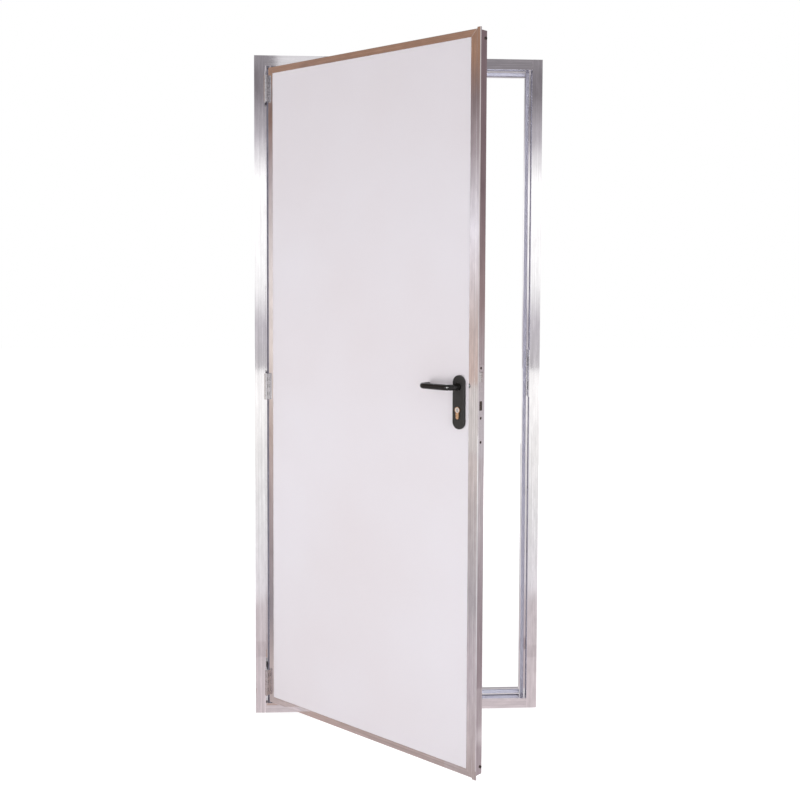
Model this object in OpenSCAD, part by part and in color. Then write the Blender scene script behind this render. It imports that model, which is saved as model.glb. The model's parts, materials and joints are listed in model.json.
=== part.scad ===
// Exterior service door: a sandwich-panel leaf with a lever lock, on three butt hinges in a frame.
// Millimetres. +Z is up, +X runs from the hinge side to the lock side, and +Y from the front,
// where the hinge knuckles are, to the back. The origin is the middle of the sill's underside.
// The leaf is drawn in its closed place and then swung open about the hinge pins.

/* [Frame] */
// Overall width of the frame
frame_width = 900; // [780:10:1100]
// Overall height of the frame
frame_height = 2070; // [1960:10:2300]
// Depth of the frame from front to back
frame_depth = 60; // [58:1:70]
// Width of the front face of a frame member
face_width = 32; // [30:1:40]
// Wall thickness of the frame members
frame_wall = 2; // [1.6:0.1:2.4]
// Depth of the rebate that takes the leaf
rebate_depth = 45; // [44:0.5:47]
// Width of the stop behind the rebate
stop_width = 17; // [16:1:22]
// Distance of the screw ports from the front and back of the head and the sill
port_inset = 6; // [5.6:0.1:6.2]
// Outer radius of a screw port
port_radius = 4.5; // [4.4:0.1:5]
// Width of the foam seal strip
seal_width = 10; // [8:0.5:11]
// Rounding of the seal strip's front edges
seal_rounding = 1.6; // [1:0.1:2]

/* [Wall fixing] */
// Radius of the holes for the wall fixings
fixing_radius = 5; // [4:0.5:6]
// Distance of the fixing holes behind the frame's face
fixing_setback = 22; // [18:1:26]
// Distance of the outer fixing holes from the ends of the jamb
fixing_end = 190; // [170:5:260]
// Distance between the two inner fixing holes
fixing_middle_spacing = 640; // [560:10:760]

/* [Leaf] */
// Thickness of the leaf
leaf_thickness = 42; // [41:0.5:43.5]
// Gap between the leaf and each jamb
side_gap = 6; // [5.8:0.1:7]
// Gap between the leaf and the head
head_gap = 7; // [5:0.5:10]
// Gap between the leaf and the sill
sill_gap = 8; // [5:0.5:12]
// How far the leaf's front stands in front of the frame's face
leaf_proud = 3.5; // [3.5:0.1:4.5]
// Width of the edge profiles on the leaf's faces
flange_width = 20; // [18:0.5:24]
// Depth of the hollow chamber along the leaf's edge
chamber_width = 12; // [11.5:0.1:13]
// Wall thickness of the edge profiles
profile_wall = 1.5; // [1.2:0.1:1.8]
// Chamfer along the outer corners of the edge profiles
profile_chamfer = 0.8; // [0.5:0.1:1]
// Thickness of the panel's sheet skins
skin_thickness = 0.7; // [0.5:0.1:1]
// Angle to which the leaf is drawn open
open_angle = 46; // [20:1:80]

/* [Closing strip] */
// How far the strip's lip reaches past the leaf's lock edge
lip_reach = 12.5; // [11:0.5:16]
// Thickness of the lip
lip_thickness = 3; // [2.4:0.1:3]
// Width of the bevel along the lip's outer edge
lip_bevel_width = 2.5; // [1.5:0.1:3]
// Depth of the bevel along the lip's outer edge
lip_bevel_depth = 1.2; // [0.8:0.1:1.6]
// Width of the strip's leg on the leaf's edge
strip_leg = 10; // [9:0.5:11]
// Thickness of the strip's leg
strip_leg_thickness = 1.5; // [1:0.1:1.8]
// How far the strip runs past the leaf at each end
strip_overlength = 3.5; // [2:0.5:5]
// Distance of the end rivets from the leaf's ends
rivet_end = 120; // [90:5:160]
// Number of rivets in the strip
rivet_count = 7; // [5:1:9]

/* [Hinges] */
// Height of a hinge
hinge_height = 80; // [74:1:90]
// Distance of the outer hinges' middles from the ends of the frame
hinge_end = 103; // [100:1:120]
// Height of the middle hinge above the frame's middle
middle_hinge_rise = 10; // [0:1:40]
// Radius of the hinge barrel
barrel_radius = 5; // [4.6:0.1:5.4]
// Radius of the hinge pin
pin_radius = 2.5; // [2.2:0.1:2.8]
// Distance of the hinge pin in front of the leaf
pin_standoff = 9; // [8:0.5:10]
// Thickness of a hinge flap
flap_thickness = 2; // [1.8:0.1:2.2]
// Width of a hinge flap, measured from the pin
flap_width = 29; // [28:0.5:31]
// Number of knuckles in a hinge
knuckle_count = 7; // [5:2:7]
// Distance of the flap screws from the pin
flap_screw_set = 21.5; // [21:0.5:23]
// Distance between the screws of one flap
flap_screw_spacing = 26; // [22:1:27]
// Radius of the pin's head
pin_head_radius = 4; // [3.4:0.1:4.4]
// Height of the pin's head
pin_head_height = 1.5; // [1:0.1:2.5]

/* [Lock] */
// Height of the lever's axis above the sill's underside
lever_height = 1093; // [1000:1:1120]
// Distance of the lever's axis from the leaf's lock edge
lock_backset = 52; // [50:1:56]
// Distance of the lock's middle plane behind the leaf's front
lock_setting = 24; // [23:0.5:25]
// Distance of the key cylinder below the lever's axis
axis_distance = 62; // [60:1:66]
// Depth of the lock case behind the faceplate
case_depth = 86; // [84:1:96]
// Thickness of the lock case
case_thickness = 16; // [15:0.5:17]
// Wall thickness of the lock case
case_wall = 1.5; // [1.2:0.1:1.6]
// Height of the lock case above the lever's axis
case_rise = 46; // [45:0.5:47]
// Reach of the lock case below the lever's axis
case_drop = 118; // [112:1:122]
// Length of the faceplate
faceplate_length = 218; // [214:1:226]
// Width of the faceplate
faceplate_width = 20; // [18:0.5:22]
// Thickness of the faceplate
faceplate_thickness = 2; // [1.8:0.1:2.2]
// Distance of the faceplate's middle below the lever's axis
faceplate_drop = 47.5; // [46:0.5:49]
// Distance between the faceplate's screws
faceplate_screw_spacing = 198; // [196:1:200]
// Thickness of the latch bolt and the dead bolt
bolt_thickness = 11; // [9:0.5:11]
// Height of the latch bolt
latch_height = 26; // [22:1:27]
// Distance of the latch bolt's middle above the lever's axis
latch_rise = 28; // [27:0.5:29]
// How far the latch bolt stands out of the faceplate
latch_throw = 10; // [8:0.5:10]
// Length of the latch bolt's nose that is cut to a slope
latch_slope = 9; // [6:0.5:9]
// Width of the latch bolt's blunt tip
latch_tip = 3; // [2:0.5:4]
// Length of the bolt heads behind the leaf's edge
latch_head = 14; // [10:1:16]
// Height of the dead bolt
dead_bolt_height = 24; // [20:1:25]
// Distance of the dead bolt's middle below the lever's axis
dead_bolt_drop = 49; // [48:0.5:49.5]
// Depth of the withdrawn dead bolt's end behind the leaf's edge
dead_bolt_setback = 1; // [0.5:0.1:2]
// Length of the dead bolt's head
dead_bolt_head = 34; // [30:1:35]
// Length of the bolts' tails
tail_length = 36; // [34:1:38]
// Height of the bolts' tails
tail_height = 9; // [8:0.5:9.5]
// Thickness of the bolts' tails
tail_thickness = 5; // [4:0.5:6]
// Drop of the dead bolt's tail below the top of its head
dead_tail_drop = 1; // [0.5:0.1:1.5]
// Height of the bottom of the latch tail above the lever's axis
latch_tail_rise = 30.5; // [30:0.5:31]
// Height of the latch's hook above the lever's axis
hook_rise = 12; // [11.5:0.5:13]
// Thickness of the latch's hook
hook_thickness = 6; // [5:0.5:7]
// Free travel between the follower's arm and the hook
hook_play = 1.8; // [1.7:0.1:2.2]
// Radius of the follower's hub
follower_radius = 10; // [9:0.5:10.5]
// Thickness of the follower
follower_thickness = 11; // [10:0.5:11.5]
// Length of the follower's arm from the lever's axis
arm_length = 18; // [16:0.5:18]
// Width of the follower's arm
arm_width = 6; // [5:0.5:6.5]
// Radius of the opening round the spindle
spindle_opening = 8; // [7.5:0.5:9]

/* [Key cylinder] */
// Radius of the cylinder's round part
cylinder_radius = 8.5; // [8.4:0.1:8.6]
// Radius of the cylinder's leg, half its width
leg_radius = 5; // [4.8:0.1:5.2]
// Distance of the leg's end rounding below the cylinder's axis
leg_drop = 19.5; // [19:0.1:20]
// How far the cylinder stands out of the handle plates
cylinder_stand = 3; // [2:0.5:4]
// Radius of the key plugs
plug_radius = 7; // [6.5:0.1:7]
// Width of the keyway
keyway_width = 2.2; // [1.8:0.1:2.6]
// Height of the keyway
keyway_height = 9; // [8:0.5:9.5]
// Depth of the keyway
keyway_depth = 18; // [14:1:20]
// Width of the gap for the cam
cam_gap = 10; // [9.6:0.1:10.4]
// Radius of the cam's ring
cam_ring = 7.8; // [7.4:0.1:8]
// Reach of the cam's tooth from the axis
cam_reach = 14.5; // [13.5:0.1:14.5]
// Width of the cam's tooth
cam_tooth = 5; // [4:0.5:6]
// Reach of the gap in the cylinder's leg below the axis
bridge_drop = 15.2; // [15.1:0.1:15.4]
// Distance of the cylinder screw below the cylinder's axis
bridge_screw_drop = 20; // [19.8:0.1:20.2]

/* [Handle set] */
// Width of the handle plates
plate_width = 40; // [38:0.5:42]
// Height of the handle plates above the lever's axis
plate_rise = 31; // [30:0.5:36]
// Reach of the handle plates below the lever's axis
plate_drop = 114; // [112:1:118]
// Thickness of the handle plates
plate_thickness = 8; // [7.5:0.5:9]
// Rounding of the handle plates' rim
plate_rounding = 3; // [2:0.5:3.5]
// Shell thickness of the handle plates
plate_shell = 2.4; // [2:0.1:2.6]
// Radius of the lever's round bar
lever_radius = 8; // [7:0.5:8.5]
// Distance of the lever's grip from the panel, measured to its middle
lever_stand = 46; // [44:1:52]
// Length of the lever between its neck and its returned end
lever_length = 100; // [90:1:120]
// Bend radius of the lever, measured to its middle
lever_bend = 15; // [14:0.5:18]
// Gap between the lever's returned end and the panel
lever_return_gap = 10; // [8:1:14]
// Chamfer of the lever's returned end
lever_chamfer = 2; // [1:0.5:3]
// Radius of the collar that turns in the handle plate
collar_radius = 10; // [9.5:0.1:10.5]
// Distance of the collar's start from the panel
collar_start = 3; // [2:0.5:4]
// Length of the collar
collar_length = 9; // [8:0.5:10]
// Side of the square spindle
spindle_side = 8; // [7.5:0.1:8]
// Depth of the spindle's seat in each lever, measured from the panel
spindle_seat = 24; // [20:1:26]
// Height of the upper handle bolt above the lever's axis
upper_bolt_rise = 23.5; // [23:0.5:24]
// Distance of the lower handle bolt below the lever's axis
lower_bolt_drop = 101; // [99:1:102]
// Radius of the handle bolts
handle_bolt_radius = 2.5; // [2:0.1:2.6]
// Radius of the handle bolts' heads
handle_head_radius = 4.2; // [3.8:0.1:4.4]
// Height of the handle bolts' heads
handle_head_height = 2; // [1.5:0.1:2.2]
// Radius of the bosses for the handle bolts
boss_radius = 6; // [5.6:0.1:6.2]
// Depth of the bolt holes' blind end below the outer plate's face
boss_floor = 2.5; // [2:0.1:3]

/* [Strike] */
// Width of the strike plate
strike_width = 26; // [24:0.5:28]
// Thickness of the strike plate
strike_thickness = 1.5; // [1:0.1:1.6]
// Length of the strike plate past the bolt openings at each end
strike_end = 24; // [20:1:30]
// Distance of the strike's screws from its ends
strike_screw_end = 10; // [9:0.5:11]

/* [Fasteners] */
// Shank radius of the frame's corner screws
corner_screw_radius = 2.1; // [1.9:0.1:2.3]
// Reach of the corner screws into their ports
corner_screw_reach = 28; // [20:1:40]
// Head radius of the pan-head screws
pan_head_radius = 4; // [3.6:0.1:4.2]
// Head height of the pan-head screws
pan_head_height = 2; // [1.6:0.1:2.4]
// Radius of the access holes in the jambs' outer walls
access_radius = 5.5; // [5:0.1:5.6]
// Shank radius of the countersunk screws
screw_radius = 2; // [1.8:0.1:2]
// Head radius of the countersunk screws
sink_radius = 3.8; // [3.4:0.1:4]
// Reach of the flap and strike screws from their heads
screw_reach = 9.5; // [8:0.5:10]
// Shank radius of the cylinder's fixing screw
long_screw_radius = 2.4; // [2.2:0.1:2.5]
// Span of the cross recess in a screw head
recess_span = 4; // [3.4:0.1:4.4]
// Width of the cross recess's arms
recess_width = 0.9; // [0.7:0.1:1.2]
// Depth of the cross recess
recess_depth = 1.2; // [0.8:0.1:1.4]
// Leg length of the corner cleats in the leaf
cleat_leg = 32; // [28:1:32]
// Distance of the leaf's corner screws from the leaf's ends
leaf_corner_end = 20; // [17:0.5:24]
// Distance of the leaf's corner screws in front of the leaf's back
leaf_corner_inset = 6.5; // [6:0.1:8]
// Head radius of the rivets
rivet_head_radius = 2.4; // [2:0.1:3]
// Head height of the rivets
rivet_head_height = 0.8; // [0.6:0.1:1]
// Shank radius of the rivets
rivet_radius = 1.5; // [1.2:0.1:1.6]
// Reach of the rivets from the strip's outer face
rivet_reach = 6; // [5:0.5:7]

/* [Clearances] */
// Clearance between the closed leaf and the seal
seal_clearance = 0.5; // [0.4:0.1:0.8]
// Gap between neighbouring knuckles
knuckle_gap = 0.4; // [0.3:0.1:0.5]
// Clearance between a knuckle and the other flap's notch
notch_clearance = 0.6; // [0.5:0.1:0.8]
// Radial clearance of pins and plugs that turn in a hole
running_clearance = 0.05; // [0.04:0.01:0.08]
// Radial clearance of screws in their holes
screw_clearance = 0.05; // [0.03:0.01:0.1]
// Clearance of sliding bolts and of the lever's collar
guide_clearance = 0.4; // [0.35:0.05:0.5]
// Clearance of the bolts in the strike
strike_clearance = 1.6; // [1.4:0.1:2]
// Clearance round the lock in the leaf
pocket_clearance = 0.5; // [0.3:0.1:0.6]
// Clearance between the cam and the cylinder's cheeks
cam_clearance = 0.4; // [0.35:0.05:0.5]
// Clearance of the corner cleats in the chambers
cleat_clearance = 0.2; // [0.1:0.05:0.3]
// Overrun of cutting shapes past the faces they cut
overrun = 1; // [0.5:0.1:1.2]

/* [Hidden] */
$fn = 64;
frame_left = -frame_width / 2;
frame_front = -frame_depth / 2;
reveal = frame_width / 2 - face_width;
inner_width = 2 * reveal;
stop_length = inner_width - 2 * stop_width;
stop_depth = frame_depth - rebate_depth;
fixing_heights = [
    fixing_end,
    (frame_height - fixing_middle_spacing) / 2,
    (frame_height + fixing_middle_spacing) / 2,
    frame_height - fixing_end
];
corner_heights = [face_width / 2, frame_height - face_width / 2];
port_depths = [frame_front + port_inset, -frame_front - port_inset];
leaf_left = side_gap - reveal;
leaf_right = reveal - side_gap;
leaf_width = leaf_right - leaf_left;
leaf_bottom = face_width + sill_gap;
leaf_top = frame_height - face_width - head_gap;
leaf_height = leaf_top - leaf_bottom;
leaf_front = frame_front - leaf_proud;
leaf_back = leaf_front + leaf_thickness;
panel_front = leaf_front + profile_wall;
panel_back = leaf_back - profile_wall;
panel_width = leaf_width - 2 * chamber_width;
panel_height = leaf_height - 2 * chamber_width;
seal_thickness = rebate_depth - (leaf_thickness - leaf_proud) - seal_clearance;
seal_margin = (stop_width - seal_width) / 2;
rivet_line = (lip_thickness + strip_leg) / 2;
pin_x = side_gap / 2 - reveal;
pin_y = leaf_front - pin_standoff;
hinge_middles = [hinge_end, frame_height / 2 + middle_hinge_rise, frame_height - hinge_end];
knuckle_length = hinge_height / knuckle_count;
frame_knuckles = [1 : 2 : knuckle_count - 2];
leaf_knuckles = [0 : 2 : knuckle_count - 1];
flap_screw_steps = [-1, 0, 1];
lock_x = leaf_right - lock_backset;
lock_y = leaf_front + lock_setting;
cylinder_height = lever_height - axis_distance;
latch_middle = lever_height + latch_rise;
dead_bolt_middle = lever_height - dead_bolt_drop;
case_bottom = lever_height - case_drop;
case_top = lever_height + case_rise;
faceplate_middle = lever_height - faceplate_drop;
faceplate_screw_heights = [
    faceplate_middle - faceplate_screw_spacing / 2,
    faceplate_middle + faceplate_screw_spacing / 2
];
handle_bolt_heights = [lever_height + upper_bolt_rise, lever_height - lower_bolt_drop];
hook_start = arm_width / 2 + hook_play;
latch_tail_end = lock_x - hook_start - hook_thickness;
cylinder_length = panel_back - panel_front + 2 * (plate_thickness + cylinder_stand);
cylinder_start = panel_front - plate_thickness - cylinder_stand;
strike_bottom = dead_bolt_middle - dead_bolt_height / 2 - strike_end;
strike_top = latch_middle + latch_height / 2 + strike_end;
strike_screw_heights = [strike_bottom + strike_screw_end, strike_top - strike_screw_end];
plate_radius = plate_width / 2;
aluminium = "LightGray";
foam = "LightSteelBlue";
galvanised = "Silver";
coated = "WhiteSmoke";
black = "DimGray";
nickel = "Gainsboro";
oiled = "DimGray";
brass = "DarkKhaki";

// Sub-part to draw, or all of them

// Shared shapes

// Swings what is drawn in the closed leaf's place to the drawn opening angle
module in_leaf() {
    translate([pin_x, pin_y, 0])
        rotate([0, 0, -open_angle])
            translate([-pin_x, -pin_y, 0])
                children();
}

// Cross recess for a driver, cut down from the head's top at zero
module cross_recess() {
    for (turn = [0, 90])
        rotate([0, 0, turn])
            translate([-recess_span / 2, -recess_width / 2, -overrun])
                cube([recess_span, recess_width, recess_depth + overrun]);
}

// Pan-head screw along +Z with its seat at zero
module pan_screw(radius, reach) {
    translate([0, 0, -pan_head_height])
        difference() {
            union() {
                cylinder(r = pan_head_radius, h = pan_head_height);
                cylinder(r = radius, h = reach + pan_head_height);
            }
            cross_recess();
        }
}

// Countersunk screw along +Z with its flat top at zero, sunk into a plate
module sunk_screw(plate, radius, reach) {
    difference() {
        union() {
            cylinder(r1 = sink_radius, r2 = radius, h = plate);
            cylinder(r = radius, h = reach);
        }
        cross_recess();
    }
}

// Hole for a countersunk screw
module sunk_hole(plate, radius) {
    cylinder(r1 = sink_radius, r2 = radius, h = plate);
    translate([0, 0, -overrun])
        cylinder(r = radius, h = plate + 2 * overrun);
}

// Round hole along +X starting at the given place
module bore_x(place, radius, length) {
    translate([place[0] - overrun, place[1], place[2]])
        rotate([0, 90, 0])
            cylinder(r = radius, h = length + 2 * overrun);
}

// Round bar or hole along +Y starting at the given place
module rod_y(place, radius, length) {
    translate(place)
        rotate([-90, 0, 0])
            cylinder(r = radius, h = length);
}

// Outline of the key cylinder, grown by a clearance
module cylinder_outline(grow) {
    circle(r = cylinder_radius + grow);
    translate([-leg_radius - grow, -leg_drop])
        square([2 * (leg_radius + grow), leg_drop]);
    translate([0, -leg_drop])
        circle(r = leg_radius + grow);
}

// Prism of the key cylinder's outline through the leaf
module cylinder_prism(grow, start, length) {
    translate([lock_x, start + length, cylinder_height])
        rotate([90, 0, 0])
            linear_extrude(height = length)
                cylinder_outline(grow);
}

// Frame

// Section of a frame member: outer side at x zero, front face at y zero
module frame_outline() {
    difference() {
        union() {
            square([face_width, frame_depth]);
            translate([0, rebate_depth])
                square([face_width + stop_width, stop_depth]);
        }
        translate([frame_wall, frame_wall])
            square([face_width - 2 * frame_wall, frame_depth - 2 * frame_wall]);
        translate([face_width, rebate_depth + frame_wall])
            square([stop_width - frame_wall, stop_depth - 2 * frame_wall]);
    }
}

// Jamb on the hinge side with the holes that both jambs share
module jamb() {
    difference() {
        translate([frame_left, frame_front, 0])
            linear_extrude(height = frame_height)
                frame_outline();
        for (end = [-overrun, frame_height - face_width])
            translate([-reveal, frame_front + rebate_depth - overrun, end])
                cube([stop_width + overrun, stop_depth + 2 * overrun, face_width + overrun]);
        for (high = corner_heights, deep = port_depths) {
            bore_x([frame_left, deep, high], access_radius, frame_wall);
            bore_x([-reveal - frame_wall, deep, high], corner_screw_radius + screw_clearance, frame_wall);
        }
        for (high = fixing_heights)
            bore_x([frame_left, frame_front + fixing_setback, high], fixing_radius, face_width);
    }
}

module hinge_jamb() {
    color(aluminium)
        difference() {
            jamb();
            for (middle = hinge_middles, step = flap_screw_steps)
                bore_x(
                    [-reveal - frame_wall, pin_y + flap_screw_set, middle + step * flap_screw_spacing],
                    screw_radius + screw_clearance, frame_wall
                );
        }
}

module lock_jamb() {
    color(aluminium)
        difference() {
            mirror([1, 0, 0])
                jamb();
            strike_opening(reveal - overrun, frame_wall + 2 * overrun, latch_middle, latch_height);
            strike_opening(reveal - overrun, frame_wall + 2 * overrun, dead_bolt_middle, dead_bolt_height);
            for (high = strike_screw_heights)
                bore_x([reveal, lock_y, high], screw_radius + screw_clearance, frame_wall);
        }
}

// Sill-side member between the jambs; its stop is cut back round the jambs' stops
module frame_rail() {
    difference() {
        translate([reveal, frame_front, 0])
            rotate([0, -90, 0])
                linear_extrude(height = inner_width)
                    frame_rail_outline();
        for (end = [-reveal - overrun, reveal - stop_width])
            translate([end, frame_front + rebate_depth - overrun, face_width])
                cube([stop_width + overrun, stop_depth + 2 * overrun, stop_width + overrun]);
    }
}

// Section of the head and the sill, with round ports for the corner screws
module frame_rail_outline() {
    difference() {
        union() {
            frame_outline();
            for (deep = [port_inset, frame_depth - port_inset])
                translate([face_width / 2, deep])
                    circle(r = port_radius);
        }
        for (deep = [port_inset, frame_depth - port_inset])
            translate([face_width / 2, deep])
                circle(r = corner_screw_radius + screw_clearance);
    }
}

module head() {
    color(aluminium)
        translate([0, 0, frame_height])
            mirror([0, 0, 1])
                frame_rail();
}

module sill() {
    color(aluminium)
        frame_rail();
}

// Seal strip's section: adhesive back on the stop, rounded front edges
module seal_outline() {
    square([seal_width, seal_thickness - seal_rounding]);
    translate([seal_rounding, 0])
        square([seal_width - 2 * seal_rounding, seal_thickness]);
    for (side = [seal_rounding, seal_width - seal_rounding])
        translate([side, seal_thickness - seal_rounding])
            circle(r = seal_rounding);
}

module jamb_seal() {
    translate([-reveal + seal_margin, frame_front + rebate_depth, face_width])
        mirror([0, 1, 0])
            linear_extrude(height = frame_height - 2 * face_width)
                seal_outline();
}

module rail_seal() {
    translate([stop_length / 2, frame_front + rebate_depth, face_width + seal_margin])
        rotate([0, -90, 0])
            mirror([0, 1, 0])
                linear_extrude(height = stop_length)
                    seal_outline();
}

module hinge_seal() {
    color(foam)
        jamb_seal();
}

module lock_seal() {
    color(foam)
        mirror([1, 0, 0])
            jamb_seal();
}

module head_seal() {
    color(foam)
        translate([0, 0, frame_height])
            mirror([0, 0, 1])
                rail_seal();
}

module sill_seal() {
    color(foam)
        rail_seal();
}

module frame_corner_screws() {
    color(galvanised)
        for (side = [0, 1], high = corner_heights, deep = port_depths)
            mirror([side, 0, 0])
                translate([-reveal - frame_wall, deep, high])
                    rotate([0, 90, 0])
                        pan_screw(corner_screw_radius, corner_screw_reach);
}

// Opening for one bolt in the strike or the jamb's wall
module strike_opening(start, length, middle, bolt_height) {
    translate([
        start,
        lock_y - bolt_thickness / 2 - strike_clearance,
        middle - bolt_height / 2 - strike_clearance
    ])
        cube([length, bolt_thickness + 2 * strike_clearance, bolt_height + 2 * strike_clearance]);
}

module strike_plate() {
    cut_start = reveal - strike_thickness - overrun;
    cut_length = strike_thickness + 2 * overrun;
    color(galvanised)
        difference() {
            translate([reveal - strike_thickness, lock_y - strike_width / 2, strike_bottom])
                cube([strike_thickness, strike_width, strike_top - strike_bottom]);
            strike_opening(cut_start, cut_length, latch_middle, latch_height);
            strike_opening(cut_start, cut_length, dead_bolt_middle, dead_bolt_height);
            for (high = strike_screw_heights)
                translate([reveal - strike_thickness, lock_y, high])
                    rotate([0, 90, 0])
                        sunk_hole(strike_thickness, screw_radius);
        }
}

module strike_screws() {
    color(galvanised)
        for (high = strike_screw_heights)
            translate([reveal - strike_thickness, lock_y, high])
                rotate([0, 90, 0])
                    sunk_screw(strike_thickness, screw_radius, screw_reach);
}

// Hinges

// Lower end of a knuckle, counted from the hinge's bottom
function knuckle_start(index) = index * knuckle_length - hinge_height / 2;

// One flap with its knuckles, drawn round the pin; the plate lies against -X
module hinge_flap(others) {
    reach = barrel_radius + notch_clearance;
    difference() {
        translate([0, 0, (knuckle_gap - hinge_height) / 2])
            linear_extrude(height = hinge_height - knuckle_gap)
                difference() {
                    union() {
                        translate([-side_gap / 2, 0])
                            square([flap_thickness, flap_width]);
                        circle(r = barrel_radius);
                    }
                    circle(r = pin_radius + running_clearance);
                }
        for (index = others)
            translate([-reach, -reach, knuckle_start(index) - knuckle_gap / 2])
                cube([2 * reach, 2 * reach, knuckle_length + knuckle_gap]);
        for (step = flap_screw_steps)
            translate([flap_thickness - side_gap / 2, flap_screw_set, step * flap_screw_spacing])
                rotate([0, -90, 0])
                    sunk_hole(flap_thickness, screw_radius);
    }
}

module frame_flap(middle) {
    color(galvanised)
        translate([pin_x, pin_y, middle])
            hinge_flap(leaf_knuckles);
}

module leaf_flap(middle) {
    color(galvanised)
        in_leaf()
            translate([pin_x, pin_y, middle])
                mirror([1, 0, 0])
                    hinge_flap(frame_knuckles);
}

// Pin with a button head on each end knuckle
module hinge_pin(middle) {
    length = hinge_height - knuckle_gap;
    color(galvanised)
        in_leaf()
            translate([pin_x, pin_y, middle - length / 2]) {
                translate([0, 0, -pin_head_height])
                    cylinder(r = pin_radius, h = length + 2 * pin_head_height);
                for (end = [-pin_head_height, length])
                    translate([0, 0, end])
                        cylinder(r = pin_head_radius, h = pin_head_height);
            }
}

module lower_frame_flap() {
    frame_flap(hinge_middles[0]);
}

module middle_frame_flap() {
    frame_flap(hinge_middles[1]);
}

module upper_frame_flap() {
    frame_flap(hinge_middles[2]);
}

module lower_leaf_flap() {
    leaf_flap(hinge_middles[0]);
}

module middle_leaf_flap() {
    leaf_flap(hinge_middles[1]);
}

module upper_leaf_flap() {
    leaf_flap(hinge_middles[2]);
}

module lower_pin() {
    hinge_pin(hinge_middles[0]);
}

module middle_pin() {
    hinge_pin(hinge_middles[1]);
}

module upper_pin() {
    hinge_pin(hinge_middles[2]);
}

module frame_flap_screws() {
    color(galvanised)
        for (middle = hinge_middles, step = flap_screw_steps)
            translate([flap_thickness - reveal, pin_y + flap_screw_set, middle + step * flap_screw_spacing])
                rotate([0, -90, 0])
                    sunk_screw(flap_thickness, screw_radius, screw_reach);
}

module leaf_flap_screws() {
    color(galvanised)
        in_leaf()
            for (middle = hinge_middles, step = flap_screw_steps)
                translate([leaf_left - flap_thickness, pin_y + flap_screw_set, middle + step * flap_screw_spacing])
                    rotate([0, 90, 0])
                        sunk_screw(flap_thickness, screw_radius, screw_reach);
}

// Leaf

// Section of an edge profile: outer edge at x zero, front face at y zero
module profile_outline() {
    difference() {
        union() {
            square([chamber_width, leaf_thickness]);
            square([flange_width, profile_wall]);
            translate([0, leaf_thickness - profile_wall])
                square([flange_width, profile_wall]);
        }
        translate([profile_wall, profile_wall])
            square([chamber_width - 2 * profile_wall, leaf_thickness - 2 * profile_wall]);
        polygon([[0, 0], [profile_chamfer, 0], [0, profile_chamfer]]);
        translate([0, leaf_thickness])
            polygon([[0, 0], [profile_chamfer, 0], [0, -profile_chamfer]]);
    }
}

// Edge profile of the given length along +Z, mitred at both ends
module mitred_profile(length) {
    intersection() {
        linear_extrude(height = length)
            profile_outline();
        translate([0, leaf_thickness + overrun, 0])
            rotate([90, 0, 0])
                linear_extrude(height = leaf_thickness + 2 * overrun)
                    polygon([[0, 0], [flange_width, flange_width], [flange_width, length - flange_width], [0, length]]);
    }
}

module hinge_stile() {
    color(aluminium)
        in_leaf()
            difference() {
                translate([leaf_left, leaf_front, leaf_bottom])
                    mitred_profile(leaf_height);
                for (middle = hinge_middles, step = flap_screw_steps)
                    bore_x(
                        [leaf_left, pin_y + flap_screw_set, middle + step * flap_screw_spacing],
                        screw_radius + screw_clearance, profile_wall
                    );
                leaf_corner_holes(leaf_left);
            }
}

module lock_stile() {
    color(aluminium)
        in_leaf()
            difference() {
                translate([leaf_right, leaf_front, leaf_bottom])
                    mirror([1, 0, 0])
                        mitred_profile(leaf_height);
                lock_pocket(overrun);
                for (high = faceplate_screw_heights)
                    bore_x([leaf_right - profile_wall, lock_y, high], screw_radius + screw_clearance, profile_wall);
                for (index = [0 : rivet_count - 1])
                    bore_x(
                        [leaf_right - profile_wall, leaf_front + rivet_line, rivet_height(index)],
                        rivet_radius + screw_clearance, profile_wall
                    );
                leaf_corner_holes(leaf_right - profile_wall);
            }
}

module top_rail() {
    color(aluminium)
        in_leaf()
            translate([leaf_left, leaf_front, leaf_top])
                rotate([0, 90, 0])
                    mitred_profile(leaf_width);
}

module bottom_rail() {
    color(aluminium)
        in_leaf()
            translate([leaf_right, leaf_front, leaf_bottom])
                rotate([0, -90, 0])
                    mitred_profile(leaf_width);
}

// Height of one rivet of the closing strip
function rivet_height(index) =
    leaf_bottom + rivet_end + index * (leaf_height - 2 * rivet_end) / (rivet_count - 1);

function leaf_corner_heights() = [leaf_bottom + leaf_corner_end, leaf_top - leaf_corner_end];

module leaf_corner_holes(start) {
    for (high = leaf_corner_heights())
        bore_x([start, leaf_back - leaf_corner_inset, high], corner_screw_radius + screw_clearance, profile_wall);
}

// L-shaped blocks that join the mitred corners inside the chambers
module corner_cleats() {
    deep = leaf_thickness - 2 * (profile_wall + cleat_clearance);
    thick = chamber_width - 2 * profile_wall - cleat_clearance;
    color(galvanised)
        in_leaf()
            for (side = [0, 1], end = [0, 1])
                translate([0, 0, (leaf_bottom + leaf_top) / 2])
                    mirror([side, 0, 0])
                        mirror([0, 0, end])
                            translate([leaf_left + profile_wall, leaf_front + profile_wall + cleat_clearance, 0])
                                translate([0, 0, profile_wall - leaf_height / 2])
                                    cleat(deep, thick);
}

module cleat(deep, thick) {
    difference() {
        union() {
            cube([cleat_leg, deep, thick]);
            cube([thick, deep, cleat_leg]);
        }
        bore_x(
            [0, leaf_thickness - profile_wall - cleat_clearance - leaf_corner_inset, leaf_corner_end - profile_wall],
            corner_screw_radius + screw_clearance, thick
        );
    }
}

module leaf_corner_screws() {
    color(oiled)
        in_leaf()
            for (side = [0, 1], high = leaf_corner_heights())
                mirror([side, 0, 0])
                    translate([leaf_left, leaf_back - leaf_corner_inset, high])
                        rotate([0, 90, 0])
                            pan_screw(corner_screw_radius, screw_reach);
}

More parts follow.
